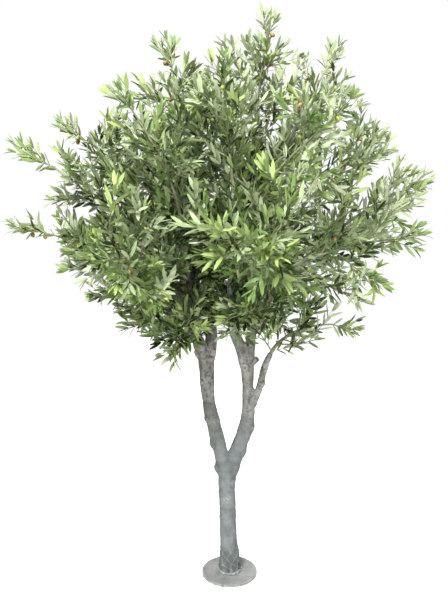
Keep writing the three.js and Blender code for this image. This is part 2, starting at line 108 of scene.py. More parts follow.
# Centre lines from root to tip, as (x, y, z, radius).
LIMBS = {
    "trunk": [
        (0.002, 0.008, FOOT - 0.008, 0.050),
        (0.000, 0.008, 0.070, 0.045),
        (-0.004, 0.008, 0.150, 0.038),
        (-0.008, 0.006, 0.280, 0.0375),
        (-0.012, 0.003, 0.390, 0.037),
        (-0.012, 0.000, FORK_HEIGHT, 0.038),
        (-0.007, 0.000, FORK_HEIGHT + 0.055, 0.038),
    ],
    "left_bough": [
        (-0.017, 0.003, FORK_HEIGHT - 0.050, 0.025),
        (-0.027, 0.002, FORK_HEIGHT + 0.015, 0.033),
        (-0.040, 0.004, 0.560, 0.031),
        (-0.072, 0.010, 0.690, 0.032),
        (-0.093, 0.016, 0.805, 0.029),
        (-0.097, 0.020, 0.900, 0.033),
        (-0.101, 0.022, BOUGH_HEIGHT - 0.025, 0.037),
    ],
    "right_bough": [
        (-0.006, 0.000, FORK_HEIGHT - 0.060, 0.025),
        (0.009, -0.002, FORK_HEIGHT + 0.015, 0.034),
        (0.030, -0.004, 0.560, 0.034),
        (0.066, -0.010, 0.660, 0.033),
        (0.080, -0.014, 0.755, 0.028),
        (0.077, -0.016, 0.870, 0.027),
        (0.075, -0.018, BOUGH_HEIGHT - 0.035, 0.030),
    ],
    "left_outer_limb": [
        (-0.106, 0.014, BOUGH_HEIGHT - 0.050, 0.026),
        (-0.125, 0.004, 1.030, 0.026),
        (-0.150, -0.020, 1.110, 0.023),
        (-0.168, -0.095, 1.330, 0.016),
        (-0.190, -0.195, 1.560, 0.011),
    ],
    "left_inner_limb": [
        (-0.093, 0.026, BOUGH_HEIGHT - 0.050, 0.026),
        (-0.080, 0.042, 1.035, 0.027),
        (-0.082, 0.066, 1.110, 0.026),
        (-0.104, 0.150, 1.330, 0.017),
        (-0.130, 0.240, 1.540, 0.011),
    ],
    "right_inner_limb": [
        (0.068, -0.020, BOUGH_HEIGHT - 0.060, 0.024),
        (0.047, -0.030, 1.025, 0.026),
        (0.014, -0.052, 1.120, 0.022),
        (0.004, -0.120, 1.310, 0.016),
        (0.040, -0.215, 1.510, 0.011),
    ],
    "right_outer_limb": [
        (0.079, -0.014, BOUGH_HEIGHT - 0.060, 0.022),
        (0.088, 0.002, 1.035, 0.023),
        (0.094, 0.020, 1.180, 0.019),
        (0.084, 0.030, 1.450, 0.014),
        (0.092, 0.034, 1.740, 0.010),
    ],
    "side_limb": [
        (0.086, -0.022, 0.765, 0.019),
        (0.121, -0.036, 0.844, 0.017),
        (0.136, -0.044, 0.905, 0.015),
        (0.150, -0.050, 0.958, 0.014),
        (0.171, -0.056, 1.008, 0.012),
    ],
    "pruned_stub": [
        (0.086, -0.022, 0.950, 0.015),
        (0.119, -0.028, 0.982, 0.013),
    ],
}

# One row for each mass: name, the limb it grows from, how far up that limb, its heading in degrees
# (0 is the tree's right, 90 its back), its rise in degrees and its reach from the crown's centre.
# A last value, where there is one, is how far its sides reach.
MASSES = [
    ("crown_top", "right_outer_limb", 1, 0, 78, 0.925, 0.790),
    ("top_right", "right_outer_limb", 0.74, 11, 58, 0.955, 0.780),
    ("top_back", "left_inner_limb", 1, 105, 62, 0.850, 0.750),
    ("top_left", "left_outer_limb", 0.8, 192, 73, 0.840, 0.690),
    ("top_front", "right_inner_limb", 0.84, 268, 63, 0.755, 0.640),
    ("right_high", "right_outer_limb", 0.6, 6, 32, 0.830, 0.760),
    ("back_right_high", "right_outer_limb", 0.66, 62, 32, 0.868),
    ("back_left_high", "left_inner_limb", 0.8, 118, 30, 0.870),
    ("left_high", "left_outer_limb", 0.7, 172, 34, 0.880, 0.690),
    ("front_left_high", "left_outer_limb", 1, 221, 46, 0.770, 0.630),
    ("front_right_high", "right_inner_limb", 1, 312, 36, 0.830, 0.710),
    ("right_mid", "right_outer_limb", 0.42, 2, 15, 0.925, 0.840),
    ("back_right_mid", "right_outer_limb", 0.48, 42, -2, 0.870),
    ("back_mid", "left_inner_limb", 0.66, 92, 0, 0.860),
    ("back_left_mid", "left_inner_limb", 0.56, 142, 4, 0.840, 0.760),
    ("left_mid", "left_outer_limb", 0.6, 180, 23, 0.980, 0.730),
    ("left_spread", "left_outer_limb", 0.46, 186, 3, 0.900, 0.690),
    ("front_left_mid", "left_outer_limb", 0.74, 232, -6, 0.765, 0.700),
    ("front_mid", "right_inner_limb", 0.74, 280, -2, 0.830),
    ("front_right_mid", "right_inner_limb", 0.62, 336, 0, 0.835, 0.720),
    ("right_low", "side_limb", 1, 354, -35, 0.710, 0.580),
    ("back_right_low", "right_outer_limb", 0.3, 58, -30, 0.650),
    ("back_left_low", "left_inner_limb", 0.42, 128, -32, 0.640),
    ("left_low", "left_outer_limb", 0.34, 190, -24, 0.625, 0.570),
    ("front_low", "left_outer_limb", 0.4, 240, -47, 0.640, 0.530),
    ("front_right_low", "right_inner_limb", 0.46, 292, -36, 0.540, 0.500),
]

# ---------------------------------------------------------------- colours and shader nodes


def colour(red, green, blue):
    """A colour as it looks, in steps of 0 to 255, as the linear value that shaders take."""
    shown = (step / 255 for step in (red, green, blue))
    linear = (s / 12.92 if s <= 0.04045 else ((s + 0.055) / 1.055) ** 2.4 for s in shown)
    return (*linear, 1.0)


def add(tree, kind, inputs=None, **settings):
    """A new node, with its settings and with each input linked or set."""
    node = tree.nodes.new(kind)
    for name, value in settings.items():
        setattr(node, name, value)
    for name, value in (inputs or {}).items():
        if isinstance(value, bpy.types.NodeSocket):
            tree.links.new(value, node.inputs[name])
        else:
            node.inputs[name].default_value = value
    return node


def mix_colours(tree, share, first, second):
    factor, colour_a, colour_b, result = 0, 6, 7, 2
    inputs = {factor: share, colour_a: first, colour_b: second}
    return add(tree, "ShaderNodeMix", inputs, data_type="RGBA").outputs[result]


def object_place(tree):
    return add(tree, "ShaderNodeTexCoord").outputs["Object"]


def noise_value(tree, place, scale, detail, roughness):
    settings = {"Vector": place, "Scale": scale, "Detail": detail, "Roughness": roughness}
    return add(tree, "ShaderNodeTexNoise", settings).outputs["Fac"]


def spread(tree, value, start, end, to_start=0.0, to_end=1.0):
    """A value moved from one range to another, and kept inside it."""
    ends = {"From Min": start, "From Max": end, "To Min": to_start, "To Max": to_end}
    return add(tree, "ShaderNodeMapRange", {"Value": value, **ends}).outputs["Result"]


def shader_group(name, inputs, outputs):
    """An empty group with named sockets, as (tree, its inputs' sockets, its output node)."""
    tree = bpy.data.node_groups.new(name, "ShaderNodeTree")
    kinds = {"value": "NodeSocketFloat", "colour": "NodeSocketColor", "vector": "NodeSocketVector"}
    for in_out, sockets in (("INPUT", inputs), ("OUTPUT", outputs)):
        for label, kind in sockets.items():
            tree.interface.new_socket(name=label, in_out=in_out, socket_type=kinds[kind])
    return tree, tree.nodes.new("NodeGroupInput").outputs, tree.nodes.new("NodeGroupOutput")


def make_mottle_group():
    """Two colours in soft patches, broken up by finer specks."""
    tree, given, result = shader_group(
        "soft_mottle",
        {"Patch Scale": "value", "Speck Scale": "value", "Light": "colour", "Dark": "colour"},
        {"Color": "colour"},
    )
    place = object_place(tree)
    patches = noise_value(tree, place, given["Patch Scale"], 5.0, 0.6)
    specks = noise_value(tree, place, given["Speck Scale"], 3.0, 0.7)
    both = add(tree, "ShaderNodeMath", {0: specks, 1: 0.45, 2: -0.225}, operation="MULTIPLY_ADD")
    total = add(tree, "ShaderNodeMath", {0: patches, 1: both.outputs[0]}, operation="ADD")
    mask = spread(tree, total.outputs[0], 0.36, 0.64)
    tree.links.new(mix_colours(tree, mask, given["Dark"], given["Light"]), result.inputs["Color"])
    return tree


def make_grain_group():
    """A fine moulded grain: a bumped normal, and roughness that varies with it."""
    tree, given, result = shader_group(
        "fine_grain",
        {"Scale": "value", "Depth": "value", "Smooth": "value", "Rough": "value"},
        {"Normal": "vector", "Roughness": "value"},
    )
    height = noise_value(tree, object_place(tree), given["Scale"], 4.0, 0.65)
    bump = {"Height": height, "Distance": given["Depth"], "Strength": 1.0}
    tree.links.new(add(tree, "ShaderNodeBump", bump).outputs["Normal"], result.inputs["Normal"])
    roughness = spread(tree, height, 0.3, 0.7, given["Smooth"], given["Rough"])
    tree.links.new(roughness, result.inputs["Roughness"])
    return tree


SOFT_MOTTLE = make_mottle_group()
FINE_GRAIN = make_grain_group()


def new_material(name, **sockets):
    """A material with its Principled shader, as (material, tree, shader)."""
    material = bpy.data.materials.new(name)
    material.use_nodes = True
    shader = material.node_tree.nodes["Principled BSDF"]
    for label, value in sockets.items():
        shader.inputs[label.replace("_", " ")].default_value = value
    return material, material.node_tree, shader


def add_group(tree, group, inputs):
    node = tree.nodes.new("ShaderNodeGroup")
    node.node_tree = group
    for label, value in inputs.items():
        node.inputs[label].default_value = value
    return node


def add_mottle(tree, patch_scale, speck_scale, light, dark):
    sizes = {"Patch Scale": patch_scale, "Speck Scale": speck_scale}
    return add_group(tree, SOFT_MOTTLE, {**sizes, "Light": light, "Dark": dark}).outputs["Color"]


def add_grain(tree, shader, scale, depth, smooth, rough):
    sizes = {"Scale": scale, "Depth": depth, "Smooth": smooth, "Rough": rough}
    grain = add_group(tree, FINE_GRAIN, sizes)
    for label in ("Roughness", "Normal"):
        tree.links.new(grain.outputs[label], shader.inputs[label])


# Mottled finishes: light and dark colour, patch and speck scale, and the grain's scale, depth,
# least and most roughness.
MOTTLED = {
    "twig": [(142, 148, 112), (104, 108, 80), 30.0, 200.0, 300.0, 0.0004, 0.6, 0.85],
    "olive_green": [(160, 168, 74), (126, 138, 58), 60.0, 400.0, 500.0, 0.0001, 0.3, 0.45],
    "olive_blushed": [(152, 144, 72), (122, 88, 54), 60.0, 400.0, 500.0, 0.0001, 0.3, 0.45],
    "olive_dark": [(88, 62, 54), (56, 40, 42), 60.0, 400.0, 500.0, 0.0001, 0.3, 0.45],
    "foot_filler": [(156, 159, 154), (104, 108, 106), 46.0, 220.0, 350.0, 0.0008, 0.7, 0.9],
}


def mottled_material(name):
    light, dark, patch_scale, speck_scale, *grain = MOTTLED[name]
    material, tree, shader = new_material(name)
    tone = add_mottle(tree, patch_scale, speck_scale, colour(*light), colour(*dark))
    tree.links.new(tone, shader.inputs["Base Color"])
    add_grain(tree, shader, *grain)
    return material


def make_bark_material():
    """Matt moulded bark: cool grey low down, warmer above, with painted shade in pits and hollows
    and a painted highlight on ridges.
    """
    material, tree, shader = new_material("bark", Specular_IOR_Level=0.25)
    low_tone = add_mottle(tree, 14.0, 120.0, colour(125, 131, 130), colour(101, 108, 108))
    high_tone = add_mottle(tree, 22.0, 260.0, colour(166, 166, 160), colour(126, 126, 120))
    height = add(tree, "ShaderNodeSeparateXYZ", {0: object_place(tree)}).outputs["Z"]
    tone = mix_colours(tree, spread(tree, height, 0.50, 0.95), low_tone, high_tone)
    # The relief attribute carries painted shade and highlight that follow the bark's height, and
    # the scuffs.
    relief = add(tree, "ShaderNodeAttribute", attribute_name="relief").outputs["Fac"]
    # Painted shade: darker where the bark sinks.
    pits = spread(tree, relief, 0.05, -0.8, to_end=0.75)
    tone = mix_colours(tree, pits, tone, colour(70, 66, 58))
    # Painted highlight: paler where the bark stands out.
    ridges = spread(tree, relief, 0.35, 1.3, to_end=0.55)
    tone = mix_colours(tree, ridges, tone, colour(182, 182, 172))
    tree.links.new(tone, shader.inputs["Base Color"])
    add_grain(tree, shader, 420.0, 0.0004, 0.62, 0.88)
    return material


def make_plate_material():
    """Grey paint on steel, smeared across its top and scuffed pale round its rim."""
    material, tree, shader = new_material("plate_paint", Specular_IOR_Level=0.3)
    tone = add_mottle(tree, 14.0, 120.0, colour(141, 143, 140), colour(120, 123, 120))
    place = object_place(tree)
    wiped = add(tree, "ShaderNodeMapping", {"Vector": place, "Scale": (9.0, 46.0, 9.0)})
    smears = noise_value(tree, wiped.outputs["Vector"], 1.0, 4.0, 0.6)
    strong = spread(tree, smears, 0.50, 0.68, to_end=0.45)
    tone = mix_colours(tree, strong, tone, colour(105, 108, 105))
    radius = add(tree, "ShaderNodeVectorMath", {0: place}, operation="LENGTH").outputs["Value"]
    rim = spread(tree, radius, PLATE["radius"] - PLATE["worn_rim"], PLATE["radius"])
    worn = spread(tree, noise_value(tree, place, 70.0, 4.0, 0.7), 0.44, 0.58)
    scuffed = add(tree, "ShaderNodeMath", {0: rim, 1: worn}, operation="MULTIPLY").outputs[0]
    tone = mix_colours(tree, scuffed, tone, colour(168, 170, 166))
    tree.links.new(tone, shader.inputs["Base Color"])
    add_grain(tree, shader, 260.0, 0.0002, 0.5, 0.8)
    return material


# The upper sides of the leaves. The first two have the pale underside, and the rest the green one.
TINTS = {
    "sage": (166, 177, 143),
    "grey_green": (134, 150, 108),
    "leaf_green": (94, 122, 60),
    "spring_green": (145, 166, 93),
    # A dark tint: some leaves' own colour, and painted shade inside the crown and low on the left.
    "deep_green_and_shade": (42, 56, 22),
}
PALE_TINTS = 2
UNDERSIDES = {"underside_pale": (166, 178, 138), "underside_green": (132, 150, 92)}


def leaf_material(name, tone, roughness):
    """A side of a leaf: one plain colour, with the print of its fabric in the gloss."""
    material, tree, shader = new_material(name, Base_Color=colour(*tone), Specular_IOR_Level=0.35)
    add_grain(tree, shader, 900.0, 0.0002, roughness - 0.06, roughness + 0.1)
    return material


def leaf_materials():
    uppers = [leaf_material(name, tone, 0.5) for name, tone in TINTS.items()]
    return uppers + [leaf_material(name, tone, 0.62) for name, tone in UNDERSIDES.items()]


# ---------------------------------------------------------------- meshes


def mesh_from(name, points, faces, materials, face_materials=None):
    """A smooth mesh object from lists of points and faces."""
    mesh = bpy.data.meshes.new(name)
    mesh.from_pydata(points, [], faces)
    for material in materials:
        mesh.materials.append(material)
    if face_materials is not None:
        mesh.polygons.foreach_set("material_index", np.asarray(face_materials, np.int32))
    shade_smooth(mesh)
    mesh.validate()
    return link(bpy.data.objects.new(name, mesh))


def shade_smooth(mesh):
    mesh.polygons.foreach_set("use_smooth", np.ones(len(mesh.polygons), bool))


def read_vectors(data, label):
    """A mesh's points or normals as an (n, 3) array."""
    values = np.empty(len(data) * 3, np.float32)
    data.foreach_get(label, values)
    return values.reshape(-1, 3)


def mark_points(mesh, name, values):
    """A value for each point, which the nodes of tubes and materials read by its name."""
    attribute = mesh.attributes.new(name, "FLOAT", "POINT")
    attribute.data.foreach_set("value", values.astype(np.float32))


def link(piece):
    bpy.context.scene.collection.objects.link(piece)
    return piece


def baked(piece, name):
    """A plain mesh of what a piece's modifiers make, in place of it."""
    graph = bpy.context.evaluated_depsgraph_get()
    mesh = bpy.data.meshes.new_from_object(piece.evaluated_get(graph))
    bpy.data.objects.remove(piece)
    mesh.name = name
    return link(bpy.data.objects.new(name, mesh))


def tube_nodes():
    """Geometry Nodes that turn lines of edges into round tubes, as thick as their points say."""
    tree = bpy.data.node_groups.new("round_tubes", "GeometryNodeTree")
    for label, kind in (("Lines", "Geometry"), ("Sides", "Int"), ("Finish", "Material")):
        tree.interface.new_socket(name=label, in_out="INPUT", socket_type="NodeSocket" + kind)
    tree.interface.new_socket(name="Tubes", in_out="OUTPUT", socket_type="NodeSocketGeometry")
    given = tree.nodes.new("NodeGroupInput").outputs
    curves = add(tree, "GeometryNodeMeshToCurve", {"Mesh": given["Lines"]}).outputs["Curve"]
    circle = {"Resolution": given["Sides"], "Radius": 1.0}
    ring = add(tree, "GeometryNodeCurvePrimitiveCircle", circle).outputs["Curve"]
    thickness = add(tree, "GeometryNodeInputNamedAttribute", {"Name": "thickness"})
    made = {"Curve": curves, "Profile Curve": ring, "Scale": thickness.outputs["Attribute"]}
    tubes = add(tree, "GeometryNodeCurveToMesh", {**made, "Fill Caps": True}).outputs["Mesh"]
    smooth = add(tree, "GeometryNodeSetShadeSmooth", {"Geometry": tubes}).outputs["Geometry"]
    real = add(tree, "GeometryNodeRealizeInstances", {"Geometry": smooth}).outputs["Geometry"]
    finished = add(tree, "GeometryNodeSetMaterial", {"Geometry": real, "Material": given["Finish"]})
    result = tree.nodes.new("NodeGroupOutput")
    tree.links.new(finished.outputs["Geometry"], result.inputs["Tubes"])
    return tree


ROUND_TUBES = tube_nodes()


def tubes_along(name, lines, material):
    """One mesh of round tubes. Each line is an (n, 4) array of x, y, z and radius."""
    points = np.vstack(lines)
    starts = set(np.cumsum([len(line) for line in lines]).tolist())
    edges = [(i - 1, i) for i in range(1, len(points)) if i not in starts]
    mesh = bpy.data.meshes.new(name)
    mesh.from_pydata(points[:, :3].tolist(), edges, [])
    mark_points(mesh, "thickness", points[:, 3])
    piece = link(bpy.data.objects.new(name, mesh))
    modifier = piece.modifiers.new("tubes", "NODES")
    modifier.node_group = ROUND_TUBES
    items = ROUND_TUBES.interface.items_tree
    sockets = {item.name: item.identifier for item in items if item.in_out == "INPUT"}
    modifier[sockets["Sides"]] = TUBE_SIDES[name]
    modifier[sockets["Finish"]] = material
    return baked(piece, name)


# ---------------------------------------------------------------- lines and frames

UP = np.array([0, 0, 1.0])


def unit(vectors):
    return vectors / np.linalg.norm(vectors, axis=-1, keepdims=True)


def blend(first, second, share):
    return first + (second - first) * share


class Line:
    """A curve from share 0 at its root to 1 at its tip."""

    NEAR = 1e-4

    def __init__(self, at, direction=None):
        self.at = at
        self.direction = direction or self.measured_direction

    def measured_direction(self, share):
        return unit(self.at(min(share + self.NEAR, 1)) - self.at(max(share - self.NEAR, 0)))

    def part(self, start, end):
        return Line(
            lambda share: self.at(blend(start, end, share)),
            lambda share: self.direction(blend(start, end, share)),
        )

    def sampled(self, steps, radii):
        """(steps + 1, 4) points along the line, with radii spread evenly over it."""
        shares = np.linspace(0, 1, steps + 1)
        points = np.array([self.at(share) for share in shares])
        radius = np.interp(shares, np.linspace(0, 1, len(radii)), radii)
        return np.column_stack([points, radius])


def smooth_line(points):
    """A Catmull-Rom curve through points, run on straight past both ends."""
    points = np.asarray(points, float)
    run = np.vstack([2 * points[0] - points[1], points, 2 * points[-1] - points[-2]])

    def at(share):
        place = share * (len(points) - 1)
        i = min(int(place), len(points) - 2)
        t = place - i
        before, start, end, after = run[i : i + 4]
        leave, arrive = 0.5 * (end - before), 0.5 * (after - start)
        return (
            (2 * t**3 - 3 * t**2 + 1) * start
            + (t**3 - 2 * t**2 + t) * leave
            + (3 * t**2 - 2 * t**3) * end
            + (t**3 - t**2) * arrive
        )

    return Line(at)


def bezier_line(*points):
    order = len(points) - 1
    weights = [math.comb(order, i) for i in range(order + 1)]

    def at(share):
        terms = enumerate(zip(weights, points))
        return sum(w * (1 - share) ** (order - i) * share**i * p for i, (w, p) in terms)

    return Line(at)


def frames_along(line, steps):
    """Cross-section frames that turn with the line and never twist about it."""
    frames = []
    side = np.array([1.0, 0, 0])
    for i in range(steps + 1):
        tangent = line.direction(i / steps)
        if abs(tangent @ side) > 0.95:  # almost the same way
            side = np.array([0, 1.0, 0])
        side = unit(side - tangent * (tangent @ side))
        frames.append((line.at(i / steps), side))
    return frames


def place_on(line, steps, share):
    """A place on a limb's straight stretches: (point, axis, side, front)."""
    frames = frames_along(line, steps)
    i = min(int(share * steps), steps - 1)
    start, end = frames[i][0], frames[i + 1][0]
    axis = unit(end - start)
    side = unit(frames[i][1] - axis * (axis @ frames[i][1]))
    return blend(start, end, share * steps - i), axis, side, np.cross(side, axis)


def face_angle(face, sides):
    return 2 * math.pi * (face + 0.5) / sides


def leaning(place, opened, around):
    """The direction that opens from a limb by one angle, at another angle round it."""
    _, axis, side, front = place
    outwards = side * math.cos(around) + front * math.sin(around)
    return axis * math.cos(opened) + outwards * math.sin(opened)


def level_across(direction):
    """A level direction across another one. Nothing grows quite straight up."""
    return unit(np.cross(direction, UP + 1e-6))


def turned(vector, axis, angle):
    return (
        vector * math.cos(angle)
        + np.cross(axis, vector) * math.sin(angle)
        + axis * (axis @ vector) * (1 - math.cos(angle))
    )


# ---------------------------------------------------------------- the rule of growth


def seeded_stream(seed):
    """Evenly spread numbers from 0 to 1, the same for the same seed."""
    state, mask = seed, 0xFFFFFFFF
    while True:
        state = (state + 0x6D2B79F5) & mask
        mixed = ((state ^ (state >> 15)) * (state | 1)) & mask
        mixed ^= (mixed + (((mixed ^ (mixed >> 7)) * (mixed | 61)) & mask)) & mask
        yield ((mixed ^ (mixed >> 14)) & mask) / 2**32


def sway(stream, amount):
    return amount * (next(stream) - 0.5)


def outward_heading(round_degrees, up_degrees):
    around, up = math.radians(round_degrees), math.radians(up_degrees)
    level = math.cos(up)
    return np.array([math.cos(around) * level, math.sin(around) * level, math.sin(up)])


def stem_end(spine, sides):
    """The stem ends before it leaves its mass's sides, and one twig goes on alone to the tip."""
    share = STEM["ends_at"]
    while np.linalg.norm(spine.at(share) - CROWN_CENTRE) > sides:
        share -= 0.01
    return share


def plan_mass(index, row, limb_lines):
    """Where a mass of foliage lies: its bare branch, its stem and the line to its tip."""
    name, limb, fork, heading, rise, reach, *sides = row
    limb_line, radii = limb_lines[limb], [point[3] for point in LIMBS[limb]]
    outwards = outward_heading(heading, rise)
    root, tip = limb_line.at(fork), CROWN_CENTRE + outwards * reach
    length = np.linalg.norm(tip - root)
    turn = 0 if fork == 1 else BRANCH["opens"]
    start = unit(blend(limb_line.direction(fork), outwards, turn))
    leave, arrive = start * SPINE_HANDLE * length, outwards * SPINE_HANDLE * length
    spine = bezier_line(root, root + leave, tip - arrive, tip)
    bare = 0 if fork == 1 else BRANCH_SHARE
    side_reach = sides[0] if sides else SIDE_REACH * reach
    limb_radius = np.interp(fork * (len(radii) - 1), range(len(radii)), radii)
    branch_radius = max(limb_radius * BRANCH["share_of_limb"], BRANCH["least_radius"])
    return {
        "name": name,
        "index": index,
        "seed": 101 + index,
        "spine": spine.part(bare, 1),
        "stem": spine.part(bare + CLEARANCE / length, stem_end(spine, side_reach)),
        "branch": None if fork == 1 else spine.part(0, bare),
        "branch_radii": [branch_radius, BRANCH["tip_radius"]],
        "reach": reach,
        "sides": side_reach,
    }


def nearest_on_lines(points, lines):
    """Distances (points, lines) to each line's nearest place, and the line's radius there."""
    start, end = lines[:, :-1], lines[:, 1:]
    step = (end - start)[..., :3]
    offset = points[:, None, None] - start[None, ..., :3]
    share = np.clip((offset * step).sum(-1) / (step**2).sum(-1), 0, 1)
    distance = np.linalg.norm(offset - share[..., None] * step, axis=-1)
    radius = blend(start[..., 3], end[..., 3], share)
    best = distance.argmin(-1)[..., None]
    return [np.take_along_axis(values, best, -1)[..., 0] for values in (distance, radius)]


class Space:
    """What each twig and leaf keeps clear of: the limbs, and the other masses' own space."""

    def __init__(self, masses, limb_lines):
        limbs = [(limb_lines[name], [row[3] for row in rows]) for name, rows in LIMBS.items()]
        limbs += [(mass["branch"], mass["branch_radii"]) for mass in masses if mass["branch"]]
        self.limbs = np.array([line.sampled(LINE_STEPS, radii) for line, radii in limbs])
        self.spines = np.array([m["spine"].sampled(LINE_STEPS, [0, 0]) for m in masses])

    def clear_of_limbs(self, points, rooms):
        distance, radius = nearest_on_lines(points, self.limbs)
        return (distance > radius + rooms[:, None] + LIMB_ROOM).all(1)

    def clear_spray(self, spray):
        """Whether a spray on a bare limb is clear of the limbs, past its root, and high enough."""
        points, rooms = spray_samples(spray)
        lowest = CROWN_FOOT + INNER["sprays_above_foot"]
        return bool(self.clear_of_limbs(points, rooms)[1:].all()) and points[:, 2].min() > lowest

    def has_room(self, points, rooms, mass, reach):
        if (np.linalg.norm(points - CROWN_CENTRE, axis=1) > reach).any():
            return False
        distance = nearest_on_lines(points, self.spines)[0]
        own = distance[:, mass["index"]].copy()
        distance[:, mass["index"]] = np.inf
        if (distance.min(1) < own + OWN_SPACE).any():
            return False
        return bool(self.clear_of_limbs(points, rooms).all())


def first_that_fits(make, fits):
    """The first of a few ever shorter tries that fits, or None."""
    for i in range(TRIES):
        made = make(TRY_SHORTENS**i)
        if fits(made):
            return made
    return None


def bent_twig(root, towards, length, lift):
    middle = root + towards * 0.5 * length
    onwards = unit(towards + np.array([0, 0, lift]))
    return bezier_line(root, middle, middle + onwards * 0.5 * length)


def twig_line(mass, index, stream, scale):
    """A twig leaves the stem at its share of the way, and opens less towards the tip."""
    share = (index + 0.2 + 0.5 * next(stream)) / TWIG["number"]
    opened = blend(*TWIG["opens"], share) * (0.85 + 0.3 * next(stream))
    around = face_angle(2 * index + mass["seed"], STEM["sides"]) + sway(stream, TWIG["sways"])
    place = place_on(mass["stem"], STEM["steps"], share)
    return bent_twig(place[0], leaning(place, opened, around), TWIG["length"] * scale, TWIG["lift"])


def end_twig_line(mass):
    root, tip = mass["stem"].at(1), mass["spine"].at(1)
    length = np.linalg.norm(tip - root) - END_TWIG["size"] * SPRAY["length"]
    return bent_twig(root, unit(tip - root), max(length, END_TWIG["least"]), 0)


def spray_place(root, direction, stream, scale):
    """Where a spray goes: it turns its face outwards and a little up."""
    light = unit(root - CROWN_CENTRE) + np.array([0, 0, SPRAY["faces_up"]])
    across = turned(unit(np.cross(direction, light)), direction, sway(stream, SPRAY["rolls"]))
    length = SPRAY["length"] * scale
    return {"root": root, "direction": direction, "across": across, "length": length}


def sprays_on(twig, habit, stream, fits):
    """Pairs of sprays that open to either side of a twig, and one on from its tip."""
    sprays = []
    size = habit["size"]
    for pair, share in enumerate(SPRAY["pairs_at"]):
        place = place_on(twig, TWIG["steps"], share)
        for half in (0, 1):

            def make(scale):
                opened = blend(*habit["opens"], next(stream))
                around = face_angle(pair + half, TWIG["sides"]) + sway(stream, SPRAY["sways"])
                return spray_place(place[0], leaning(place, opened, around), stream, size * scale)

            sprays.append(first_that_fits(make, fits))
    end, axis, *_ = place_on(twig, TWIG["steps"], SPRAY["end_at"])
    sprays.append(first_that_fits(lambda scale: spray_place(end, axis, stream, size * scale), fits))
    return [spray for spray in sprays if spray]


# Points down a spray's middle and on its two sides, as (share of its length, how far to one side,
# how much room it needs), the last two as shares of its half-width.
MIDDLE_POINTS = [(0.25, 0, 0.55), (SPRAY["widest_at"], 0, 1), (0.75, 0, 0.5), (1, 0, 0)]
SIDE_POINTS = [(SPRAY["widest_at"], 1, 0), (SPRAY["widest_at"], -1, 0)]


def spray_samples(spray):
    """Points on a spray, and how much room each needs."""
    half = 0.5 * SPRAY["width"] * spray["length"] / SPRAY["length"]
    shares, sideways, rooms = np.array(MIDDLE_POINTS + SIDE_POINTS).T
    along = spray["direction"] * (shares * spray["length"])[:, None]
    return spray["root"] + along + spray["across"] * (half * sideways)[:, None], half * rooms


def grow_mass(mass, space):
    """A mass's twigs and the places of its sprays, each on its twig."""
    stream = seeded_stream(mass["seed"])

    def spray_fits(reach):
        return lambda spray: space.has_room(*spray_samples(spray), mass, reach)

    def twig_fits(line):
        points = np.array([line.at(share) for share in (0.25, 0.5, 0.75, 1)])
        return space.has_room(points, np.full(4, TWIG["room"]), mass, mass["sides"])

    grown = []
    for i in range(TWIG["number"]):
        twig = first_that_fits(lambda scale: twig_line(mass, i, stream, scale), twig_fits)
        if twig:
            grown.append((twig, sprays_on(twig, SIDE_TWIG, stream, spray_fits(mass["sides"]))))
    twig = end_twig_line(mass)
    grown.append((twig, sprays_on(twig, END_TWIG, stream, spray_fits(mass["reach"]))))
    return grown


def hanging_from(twig, share):
    """Where an olive hangs from a twig's lower side: (its top, the way it hangs)."""
    place, axis, *_ = place_on(twig, TWIG["steps"], share)
    return place, unit(axis * (axis @ UP) - UP)


def end_olive(mass, twig, space):
    """The olive on every third mass's end twig, if there is room for it."""
    top, down = hanging_from(twig, END_OLIVE["along"])
    middle = top + down * 0.5 * OLIVE["length"]
    has_room = space.has_room(middle[None], np.array([0.5 * OLIVE["width"]]), mass, mass["reach"])
    return (top, down) if has_room and mass["seed"] % END_OLIVE["every_mass"] == 0 else None


# ---------------------------------------------------------------- finer growth: sprays and leaves

GOLDEN_ANGLE = math.pi * (3 - math.sqrt(5))
CROWN_RADIUS = 0.9


def tint_of(place, rng):
    """A spray's tint, dealt by its place: more sage high up and on the right, except at the front,
    and more deep green inside and low down on the left, where the deep green is painted shade.
    The front left and some patches have more spring green, and the front right more leaf green and
    deep green."""
    offset = (place - CROWN_CENTRE) / CROWN_RADIUS
    right, back = offset[:2]
    high = np.clip((place[2] - CROWN_FOOT) / (TREE_HEIGHT - CROWN_FOOT), 0, 1)
    outside = min(np.linalg.norm(offset), 1)
    patch = max(noise.noise(Vector(place) * 4.5), 0)
    front_left = max(-back, 0) * max(0.5 - right, 0)
    front_right = max(-back - 0.2, 0) * min(max(right + 0.3, 0), 0.5)
    weights = {
        "sage": 0.10
        + 2.0 * max(high - 0.3, 0) * outside
        + 0.8 * max(right, 0) * max(1 + 2 * back, 0),
        "grey_green": 0.35 + 0.6 * high,
        "leaf_green": 0.80 - 0.5 * max(high - 0.2, 0) + 1.2 * front_right,
        "spring_green": 0.06
        + 0.5 * max(0.8 - high, 0) * outside
        + 1.1 * front_left
        + 0.9 * patch * outside,
        # Some leaves are deep green of their own. Inside the crown and low on the left, the deep
        # green is painted shade.
        "deep_green_and_shade": 0.10
        + 5.2 * max(0.8 - outside, 0)
        + 0.7 * max(0.5 - high, 0) * max(0.3 - right, 0)
        + 0.8 * front_right,
    }
    shares = np.array([weights[name] for name in TINTS])
    return rng.choice(len(TINTS), p=shares / shares.sum())


